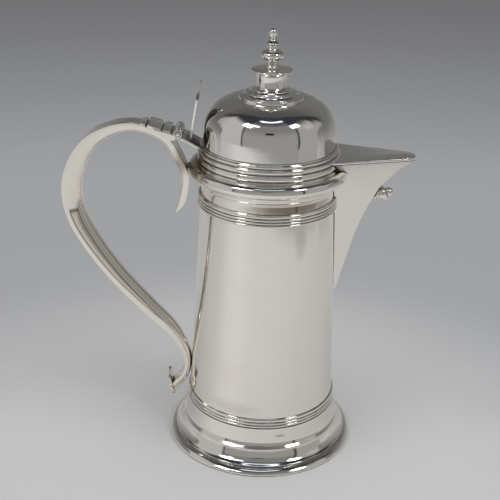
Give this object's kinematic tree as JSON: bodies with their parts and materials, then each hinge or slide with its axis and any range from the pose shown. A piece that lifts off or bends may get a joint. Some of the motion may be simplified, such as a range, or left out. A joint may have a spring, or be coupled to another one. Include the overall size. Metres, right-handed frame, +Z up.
{
  "type": "lidded silver flagon",
  "caption": "Tapered silver flagon on a spread foot, with a V-shaped spout, scroll handle and hinged domed lid with a turned finial.",
  "frame": {"origin": "centre of the overall box, on the plane that the foot stands on", "axes": "+Z up along the barrel, +X from the handle towards the spout, +Y across the flagon"},
  "size_m": [0.224, 0.1276, 0.28],
  "materials": {
    "body_silver": "polished silver",
    "lid_silver": "polished silver",
    "handle_silver": "worn polished silver",
    "hinge_silver": "cast silver",
    "inner_silver": "dull silver"
  },
  "bodies": {
    "vessel": {"body_barrel": "body_silver", "base_disc": "body_silver", "foot_skirt": "body_silver", "foot_rim": "body_silver", "lower_reeded_band": "body_silver", "upper_reeded_band": "body_silver", "lip_moulding": "body_silver", "spout": "body_silver", "spout_drop": "body_silver", "handle_shell": "handle_silver", "handle_strip": "handle_silver", "handle_end_shield": "handle_silver", "hinge_strap": "hinge_silver", "hinge_pin": "hinge_silver"},
    "lid": {"lid_dome": "lid_silver", "lid_rim_band": "lid_silver", "lid_bezel": "inner_silver", "lid_spout_cover": "lid_silver", "finial_collar": "lid_silver", "finial_disc": "lid_silver", "finial_knop": "lid_silver", "finial_nut": "inner_silver", "hinge_leaf": "hinge_silver", "thumbpiece": "hinge_silver"}
  },
  "joints": [
    {"name": "lid_hinge", "type": "hinge", "parent": "vessel", "child": "lid", "pos_m": [-0.03711, 0, 0.2146], "axis": [0, -1, 0], "range_deg": [0, 90]}
  ]
}
